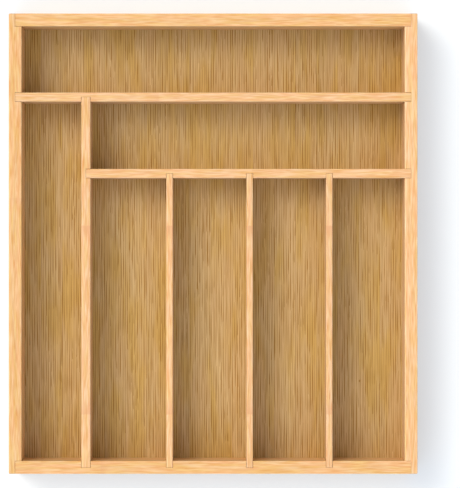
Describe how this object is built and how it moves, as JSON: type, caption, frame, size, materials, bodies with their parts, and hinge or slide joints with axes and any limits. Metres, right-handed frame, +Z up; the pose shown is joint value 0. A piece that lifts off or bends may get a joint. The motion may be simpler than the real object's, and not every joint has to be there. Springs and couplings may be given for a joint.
{
  "type": "drawer organizer insert",
  "caption": "Bamboo drawer organizer insert: a rabbeted rail frame round a grooved-in base panel, with housed dividers forming cross trays, a side tray and long columns.",
  "frame": {"origin": "centre of the tray's outline, on the surface that its pads stand on", "axes": "+X to the right and +Y to the back of the drawer, as seen by a person at the drawer; +Z up"},
  "size_m": [0.38, 0.428, 0.0515],
  "materials": {
    "bamboo_rail": "satin",
    "bamboo_divider": "satin",
    "bamboo_panel": "satin",
    "pad_rubber": "matte",
    "brad_steel": "satin"
  },
  "bodies": {
    "root": {"left_rail": "bamboo_rail", "right_rail": "bamboo_rail", "back_rail": "bamboo_rail", "front_rail": "bamboo_rail", "upper_cross_divider": "bamboo_divider", "lower_cross_divider": "bamboo_divider", "long_divider": "bamboo_divider", "column_divider_1": "bamboo_divider", "column_divider_2": "bamboo_divider", "column_divider_3": "bamboo_divider", "base_panel": "bamboo_panel", "pad_back_left": "pad_rubber", "pad_back_right": "pad_rubber", "pad_front_left": "pad_rubber", "pad_front_right": "pad_rubber", "brad_back_left_lower": "brad_steel", "brad_back_left_upper": "brad_steel", "brad_back_right_lower": "brad_steel", "brad_back_right_upper": "brad_steel", "brad_front_left_lower": "brad_steel", "brad_front_left_upper": "brad_steel", "brad_front_right_lower": "brad_steel", "brad_front_right_upper": "brad_steel"}
  },
  "joints": []
}
